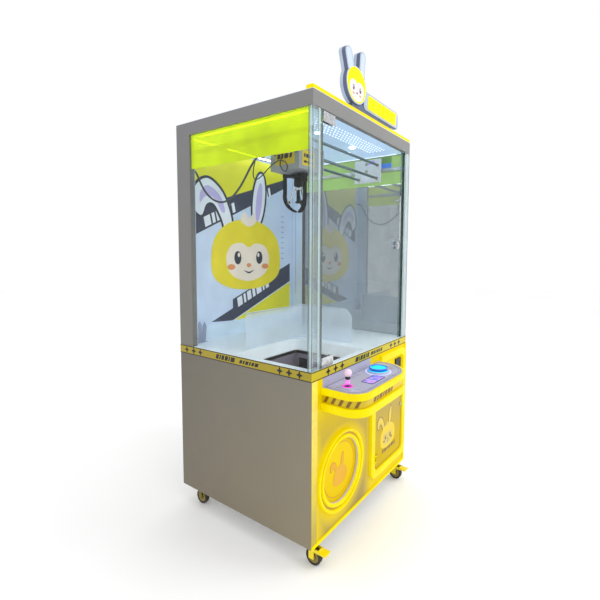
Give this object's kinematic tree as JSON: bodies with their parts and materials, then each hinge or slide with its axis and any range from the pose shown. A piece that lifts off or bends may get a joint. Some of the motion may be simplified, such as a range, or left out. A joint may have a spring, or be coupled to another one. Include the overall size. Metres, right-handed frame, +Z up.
{
  "type": "claw crane machine",
  "caption": "Prize crane cabinet on casters with a glazed play field, overhead gantry claw, joystick console, prize chute door and lit coin door.",
  "frame": {"origin": "on the floor, at the centre of the machine's footprint box", "axes": "+Z up, front with the console faces -Y, +X to the right seen from the front"},
  "size_m": [0.894, 1.045, 2.2208],
  "materials": {
    "frame_steel": "satin",
    "white_sheet": "satin",
    "front_sheet": "satin",
    "band_yellow": "printed film",
    "neon_yellow": "translucent, lit from inside",
    "door_yellow": "gloss",
    "clear_acrylic": "clear",
    "glass": "clear",
    "chute_grey": "satin",
    "tray_white": "gloss",
    "backdrop_print": "printed film",
    "rail_steel": "satin",
    "rod_steel": "bright",
    "carriage_grey": "satin",
    "claw_black": "gloss",
    "chrome": "polished",
    "cord_dark": "matte",
    "cord_black": "matte",
    "console_white": "satin",
    "stick_pink": "lit from inside",
    "button_blue": "lit from inside",
    "black_plastic": "satin",
    "topper": "acrylic, lit from inside",
    "zinc": "zinc plated",
    "tyre": "matte",
    "pedal_red": "satin"
  },
  "bodies": {
    "cabinet": {"base_frame": "frame_steel", "side_panels": "white_sheet", "lower_back_panel": "white_sheet", "power_inlet": "black_plastic", "front_panel": "front_sheet", "waist_band": "band_yellow", "prize_chute": "chute_grey", "prize_bezel": "neon_yellow", "cash_frame": "neon_yellow", "coin_acceptor": "black_plastic", "coin_box": "zinc", "power_supply": "zinc", "console_shell": "console_white", "console_plate": "console_white", "joystick_base": "black_plastic", "upper_frame": "white_sheet", "upper_back_panel": "white_sheet", "backdrop": "backdrop_print", "roof_panels": "white_sheet", "corner_posts": "clear_acrylic", "side_glasses": "glass", "tray": "tray_white", "fence_panels": "clear_acrylic", "neon_strips": "neon_yellow", "topper_sign": "topper", "side_rails": "rail_steel", "caster_plates": "zinc", "trunk_cable": "cord_dark"},
    "glass_door": {"glass_door": "glass", "door_fittings": "chrome"},
    "door_lock": {"door_lock": "chrome"},
    "prize_flap": {"prize_flap": "door_yellow"},
    "cash_door": {"cash_door": "front_sheet"},
    "cash_lock": {"cash_lock": "chrome"},
    "coin_return": {"coin_return_button": "chrome"},
    "stick_gimbal": {"joystick_gimbal": "zinc"},
    "stick_lever": {"joystick_lever": "stick_pink"},
    "start_button": {"start_button": "button_blue"},
    "bridge": {"bridge_frame": "rod_steel", "carriage_cable": "cord_dark"},
    "carriage": {"carriage_housing": "carriage_grey", "hoist_cord": "cord_black"},
    "claw": {"claw_head": "claw_black"},
    "claw_collar": {"claw_collar": "chrome"},
    "arm_1": {"claw_arm_1": "claw_black"},
    "link_1": {"claw_link_1": "chrome"},
    "arm_2": {"claw_arm_2": "claw_black"},
    "link_2": {"claw_link_2": "chrome"},
    "arm_3": {"claw_arm_3": "claw_black"},
    "link_3": {"claw_link_3": "chrome"},
    "fork_front_left": {"fork_front_left": "zinc"},
    "wheel_front_left": {"wheel_front_left": "tyre"},
    "pedal_front_left": {"pedal_front_left": "pedal_red"},
    "fork_front_right": {"fork_front_right": "zinc"},
    "wheel_front_right": {"wheel_front_right": "tyre"},
    "pedal_front_right": {"pedal_front_right": "pedal_red"},
    "fork_rear_left": {"fork_rear_left": "zinc"},
    "wheel_rear_left": {"wheel_rear_left": "tyre"},
    "fork_rear_right": {"fork_rear_right": "zinc"},
    "wheel_rear_right": {"wheel_rear_right": "tyre"}
  },
  "joints": [
    {"name": "glass_door_swing", "type": "hinge", "parent": "cabinet", "child": "glass_door", "pos_m": [-0.371, -0.3195, 1.358], "axis": [0, 0, -1], "range_deg": [0, 100]},
    {"name": "door_lock_turn", "type": "hinge", "parent": "glass_door", "child": "door_lock", "pos_m": [0.311, -0.3195, 1.365], "axis": [0, 1, 0], "range_deg": [0, 90]},
    {"name": "prize_flap_swing", "type": "hinge", "parent": "cabinet", "child": "prize_flap", "pos_m": [-0.225, -0.3185, 0.502], "axis": [1, 0, 0], "range_deg": [0, 75]},
    {"name": "cash_door_swing", "type": "hinge", "parent": "cabinet", "child": "cash_door", "pos_m": [0.076, -0.3435, 0.418], "axis": [0, 0, -1], "range_deg": [0, 100]},
    {"name": "cash_lock_turn", "type": "hinge", "parent": "cash_door", "child": "cash_lock", "pos_m": [0.37, -0.3335, 0.465], "axis": [0, -1, 0], "range_deg": [0, 90]},
    {"name": "coin_return_press", "type": "slide", "parent": "cabinet", "child": "coin_return", "axis": [0, 1, 0], "range_m": [0, 0.003], "stiffness_N_per_m": 400, "springref_m": -0.003},
    {"name": "stick_side_tilt", "type": "hinge", "parent": "cabinet", "child": "stick_gimbal", "pos_m": [-0.311, -0.4115, 0.748], "axis": [1, 0, 0], "range_deg": [-18, 18], "stiffness_Nm_per_rad": 0.6},
    {"name": "stick_front_tilt", "type": "hinge", "parent": "stick_gimbal", "child": "stick_lever", "pos_m": [-0.311, -0.4115, 0.748], "axis": [0, 1, 0], "range_deg": [-18, 18], "stiffness_Nm_per_rad": 0.6},
    {"name": "start_button_press", "type": "slide", "parent": "cabinet", "child": "start_button", "axis": [0, 0, -1], "range_m": [0, 0.004], "stiffness_N_per_m": 1500, "springref_m": -0.004},
    {"name": "bridge_travel", "type": "slide", "parent": "cabinet", "child": "bridge", "axis": [0, 1, 0], "range_m": [-0.05, 0.4], "deforming": ["trunk_cable"]},
    {"name": "carriage_travel", "type": "slide", "parent": "bridge", "child": "carriage", "axis": [1, 0, 0], "range_m": [-0.05, 0.45], "deforming": ["carriage_cable"]},
    {"name": "claw_hoist", "type": "slide", "parent": "carriage", "child": "claw", "axis": [0, 0, 1], "range_m": [-0.64, 0], "deforming": ["hoist_cord"]},
    {"name": "claw_grip", "type": "slide", "parent": "claw", "child": "claw_collar", "axis": [0, 0, -1], "range_m": [0, 0.02281]},
    {"name": "arm_1_swing", "type": "hinge", "parent": "claw", "child": "arm_1", "pos_m": [-0.27076, -0.03387, 1.664], "axis": [0.7771, 0.6293, 0], "range_deg": [0, 14.1]},
    {"name": "link_1_swing", "type": "hinge", "parent": "claw_collar", "child": "link_1", "pos_m": [-0.24307, -0.06807, 1.61], "axis": [0.7771, 0.6293, 0], "range_deg": [0, 31.4]},
    {"name": "arm_2_swing", "type": "hinge", "parent": "claw", "child": "arm_2", "pos_m": [-0.2545, -0.13651, 1.664], "axis": [-0.9336, 0.3584, 0], "range_deg": [0, 14.1]},
    {"name": "link_2_swing", "type": "hinge", "parent": "claw_collar", "child": "link_2", "pos_m": [-0.23873, -0.09544, 1.61], "axis": [-0.9336, 0.3584, 0], "range_deg": [0, 31.4]},
    {"name": "arm_3_swing", "type": "hinge", "parent": "claw", "child": "arm_3", "pos_m": [-0.17374, -0.07111, 1.664], "axis": [0.1564, -0.9877, 0], "range_deg": [0, 14.1]},
    {"name": "link_3_swing", "type": "hinge", "parent": "claw_collar", "child": "link_3", "pos_m": [-0.2172, -0.078, 1.61], "axis": [0.1564, -0.9877, 0], "range_deg": [0, 31.4]},
    {"name": "front_left_swivel", "type": "hinge", "parent": "cabinet", "child": "fork_front_left", "pos_m": [-0.395, -0.2775, 0.086], "axis": [0, 0, 1], "continuous": true},
    {"name": "front_left_roll", "type": "hinge", "parent": "fork_front_left", "child": "wheel_front_left", "pos_m": [-0.395, -0.3075, 0.0375], "axis": [1, 0, 0], "continuous": true},
    {"name": "front_left_brake", "type": "hinge", "parent": "fork_front_left", "child": "pedal_front_left", "pos_m": [-0.395, -0.3395, 0.071], "axis": [1, 0, 0], "range_deg": [0, 15]},
    {"name": "front_right_swivel", "type": "hinge", "parent": "cabinet", "child": "fork_front_right", "pos_m": [0.395, -0.2775, 0.086], "axis": [0, 0, 1], "continuous": true},
    {"name": "front_right_roll", "type": "hinge", "parent": "fork_front_right", "child": "wheel_front_right", "pos_m": [0.395, -0.3075, 0.0375], "axis": [1, 0, 0], "continuous": true},
    {"name": "front_right_brake", "type": "hinge", "parent": "fork_front_right", "child": "pedal_front_right", "pos_m": [0.395, -0.3395, 0.071], "axis": [1, 0, 0], "range_deg": [0, 15]},
    {"name": "rear_left_swivel", "type": "hinge", "parent": "cabinet", "child": "fork_rear_left", "pos_m": [-0.395, 0.4575, 0.086], "axis": [0, 0, 1], "continuous": true},
    {"name": "rear_left_roll", "type": "hinge", "parent": "fork_rear_left", "child": "wheel_rear_left", "pos_m": [-0.395, 0.4275, 0.0375], "axis": [1, 0, 0], "continuous": true},
    {"name": "rear_right_swivel", "type": "hinge", "parent": "cabinet", "child": "fork_rear_right", "pos_m": [0.395, 0.4575, 0.086], "axis": [0, 0, 1], "continuous": true},
    {"name": "rear_right_roll", "type": "hinge", "parent": "fork_rear_right", "child": "wheel_rear_right", "pos_m": [0.395, 0.4275, 0.0375], "axis": [1, 0, 0], "continuous": true}
  ],
  "couplings": [
    {"joint": "arm_1_swing", "follows": "claw_grip", "rad_per_m": 10.712},
    {"joint": "link_1_swing", "follows": "claw_grip", "rad_per_m": 23.881},
    {"joint": "arm_2_swing", "follows": "claw_grip", "rad_per_m": 10.712},
    {"joint": "link_2_swing", "follows": "claw_grip", "rad_per_m": 23.881},
    {"joint": "arm_3_swing", "follows": "claw_grip", "rad_per_m": 10.712},
    {"joint": "link_3_swing", "follows": "claw_grip", "rad_per_m": 23.881}
  ]
}
